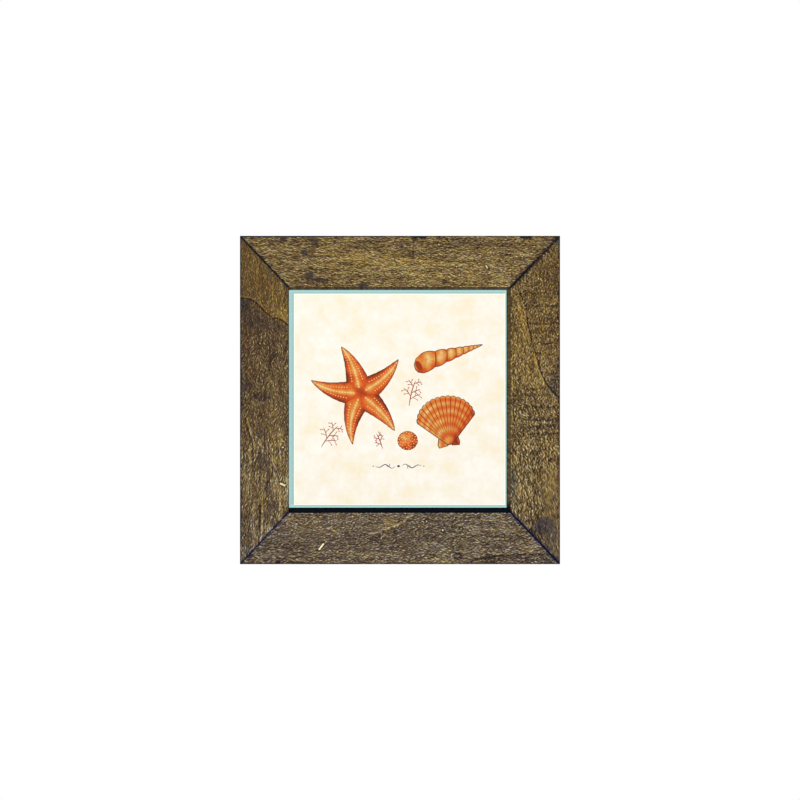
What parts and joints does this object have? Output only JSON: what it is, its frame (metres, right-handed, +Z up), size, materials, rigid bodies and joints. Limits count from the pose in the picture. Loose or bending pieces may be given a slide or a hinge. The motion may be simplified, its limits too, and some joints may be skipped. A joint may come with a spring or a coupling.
{
  "type": "framed print",
  "caption": "Square printed picture on a thin painted panel, held in a wide mitred stained-wood tray frame that hangs on a wall by a toothed steel hanger.",
  "frame": {"origin": "top of the middle notch of the sawtooth hanger, where the wall nail bears, in the plane of the wall", "axes": "+Y from the picture towards the wall, so the picture faces -Y; +X to the picture's right; +Z up"},
  "size_m": [0.2986, 0.0225, 0.3062],
  "materials": {
    "stained_wood": "dark brown stain, rough-sawn and dry, with worn pale flecks",
    "aqua_paint": "pale aqua eggshell paint on a thin fibre board",
    "cream_paper": "matte cream paper, mottled as if aged, printed in orange, ochre and brown",
    "zinc_steel": "dull zinc-plated steel",
    "grey_rubber": "soft matte grey"
  },
  "bodies": {
    "root": {"frame_rail_top": "stained_wood", "frame_rail_bottom": "stained_wood", "frame_rail_left": "stained_wood", "frame_rail_right": "stained_wood", "picture_panel": "aqua_paint", "print_sheet": "cream_paper", "corner_nail_top_left_outer": "zinc_steel", "corner_nail_top_left_inner": "zinc_steel", "corner_nail_top_right_outer": "zinc_steel", "corner_nail_top_right_inner": "zinc_steel", "corner_nail_bottom_left_outer": "zinc_steel", "corner_nail_bottom_left_inner": "zinc_steel", "corner_nail_bottom_right_outer": "zinc_steel", "corner_nail_bottom_right_inner": "zinc_steel", "sawtooth_hanger": "zinc_steel", "hanger_pin_left": "zinc_steel", "hanger_pin_right": "zinc_steel", "wall_bumper_left": "grey_rubber", "wall_bumper_right": "grey_rubber"}
  },
  "joints": []
}
